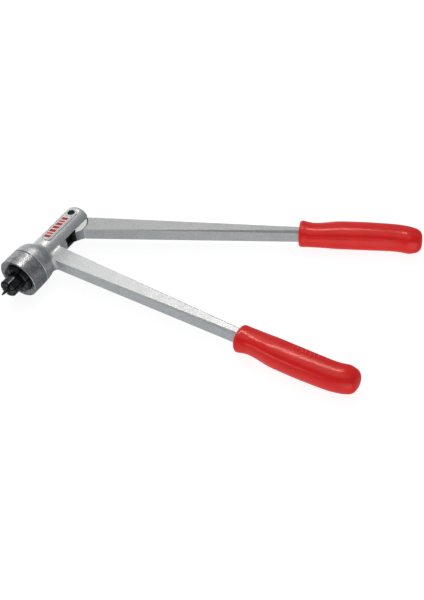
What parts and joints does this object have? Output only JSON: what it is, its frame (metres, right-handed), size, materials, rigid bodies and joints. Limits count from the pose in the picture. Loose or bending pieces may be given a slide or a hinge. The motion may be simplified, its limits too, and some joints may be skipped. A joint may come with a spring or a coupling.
{
  "type": "tube expander",
  "caption": "Two-handled hand tube expander: closing the lever drives a cone that spreads the segmented jaws inside a copper tube end.",
  "frame": {"origin": "on the head axis at the jaws' shoulder, where the tube end stops", "axes": "-Y along the head axis towards the jaws' nose, +X out along the handles, +Z along the lever's pivot pin; the tool lies on its side"},
  "size_m": [0.3813, 0.2585, 0.044],
  "materials": {
    "cast_aluminium": "fine cast, lightly polished",
    "turned_steel": "turned and satin plated",
    "black_oxide_steel": "black oxide, oiled",
    "hardened_steel": "ground",
    "bronze": "machined",
    "spring_steel": "oil tempered",
    "red_grip": "glossy dipped vinyl",
    "plate": "printed plate, white with a plain red pattern",
    "jaw_ring_rubber": "matt"
  },
  "bodies": {
    "tool_body": {"body_casting": "cast_aluminium", "fixed_grip": "red_grip", "name_plate": "plate", "pivot_pin": "black_oxide_steel", "guide_bush": "bronze"},
    "lever": {"lever_arm": "cast_aluminium", "lever_grip": "red_grip", "pivot_bush": "bronze", "cam_insert": "black_oxide_steel", "cam_dowel_1": "hardened_steel", "cam_dowel_2": "hardened_steel"},
    "cone": {"drive_cone": "black_oxide_steel", "thrust_button": "black_oxide_steel", "return_spring": "spring_steel"},
    "head": {"backing_ring": "hardened_steel", "jaw_ring": "jaw_ring_rubber"},
    "cap": {"head_cap": "turned_steel"},
    "jaw_1_body": {"jaw_1": "black_oxide_steel"},
    "jaw_2_body": {"jaw_2": "black_oxide_steel"},
    "jaw_3_body": {"jaw_3": "black_oxide_steel"},
    "jaw_4_body": {"jaw_4": "black_oxide_steel"},
    "jaw_5_body": {"jaw_5": "black_oxide_steel"},
    "jaw_6_body": {"jaw_6": "black_oxide_steel"},
    "jaw_7_body": {"jaw_7": "black_oxide_steel"},
    "jaw_8_body": {"jaw_8": "black_oxide_steel"}
  },
  "joints": [
    {"name": "lever_hinge", "type": "hinge", "parent": "tool_body", "child": "lever", "pos_m": [0, 0.0954, 0], "axis": [0, 0, 1], "range_deg": [-21.5, 38]},
    {"name": "cone_slide", "type": "slide", "parent": "tool_body", "child": "cone", "axis": [0, -1, 0], "range_m": [-0.00536, 0.00305], "deforming": ["return_spring"]},
    {"name": "head_advance", "type": "slide", "parent": "tool_body", "child": "head", "axis": [0, -1, 0], "range_m": [0, 0.0075]},
    {"name": "cap_turn", "type": "hinge", "parent": "head", "child": "cap", "pos_m": [0, 0, 0], "axis": [0, -1, 0], "range_deg": [0, 1801]},
    {"name": "jaw_1_slide", "type": "slide", "parent": "head", "child": "jaw_1_body", "axis": [0.7604, 0, 0.6494], "range_m": [-0.00108, 0.00062], "deforming": ["jaw_ring"]},
    {"name": "jaw_2_slide", "type": "slide", "parent": "head", "child": "jaw_2_body", "axis": [0.0785, 0, 0.9969], "range_m": [-0.00108, 0.00062]},
    {"name": "jaw_3_slide", "type": "slide", "parent": "head", "child": "jaw_3_body", "axis": [-0.6494, 0, 0.7604], "range_m": [-0.00108, 0.00062]},
    {"name": "jaw_4_slide", "type": "slide", "parent": "head", "child": "jaw_4_body", "axis": [-0.9969, 0, 0.0785], "range_m": [-0.00108, 0.00062]},
    {"name": "jaw_5_slide", "type": "slide", "parent": "head", "child": "jaw_5_body", "axis": [-0.7604, 0, -0.6494], "range_m": [-0.00108, 0.00062]},
    {"name": "jaw_6_slide", "type": "slide", "parent": "head", "child": "jaw_6_body", "axis": [-0.0785, 0, -0.9969], "range_m": [-0.00108, 0.00062]},
    {"name": "jaw_7_slide", "type": "slide", "parent": "head", "child": "jaw_7_body", "axis": [0.6494, 0, -0.7604], "range_m": [-0.00108, 0.00062]},
    {"name": "jaw_8_slide", "type": "slide", "parent": "head", "child": "jaw_8_body", "axis": [0.9969, 0, -0.0785], "range_m": [-0.00108, 0.00062]}
  ],
  "couplings": [
    {"joint": "cone_slide", "follows": "lever_hinge", "m_per_rad": -0.008},
    {"joint": "cap_turn", "follows": "head_advance", "rad_per_m": 4188.8},
    {"joint": "jaw_1_slide", "follows": "lever_hinge", "m_per_rad": -0.0016},
    {"joint": "jaw_2_slide", "follows": "lever_hinge", "m_per_rad": -0.0016},
    {"joint": "jaw_3_slide", "follows": "lever_hinge", "m_per_rad": -0.0016},
    {"joint": "jaw_4_slide", "follows": "lever_hinge", "m_per_rad": -0.0016},
    {"joint": "jaw_5_slide", "follows": "lever_hinge", "m_per_rad": -0.0016},
    {"joint": "jaw_6_slide", "follows": "lever_hinge", "m_per_rad": -0.0016},
    {"joint": "jaw_7_slide", "follows": "lever_hinge", "m_per_rad": -0.0016},
    {"joint": "jaw_8_slide", "follows": "lever_hinge", "m_per_rad": -0.0016}
  ]
}
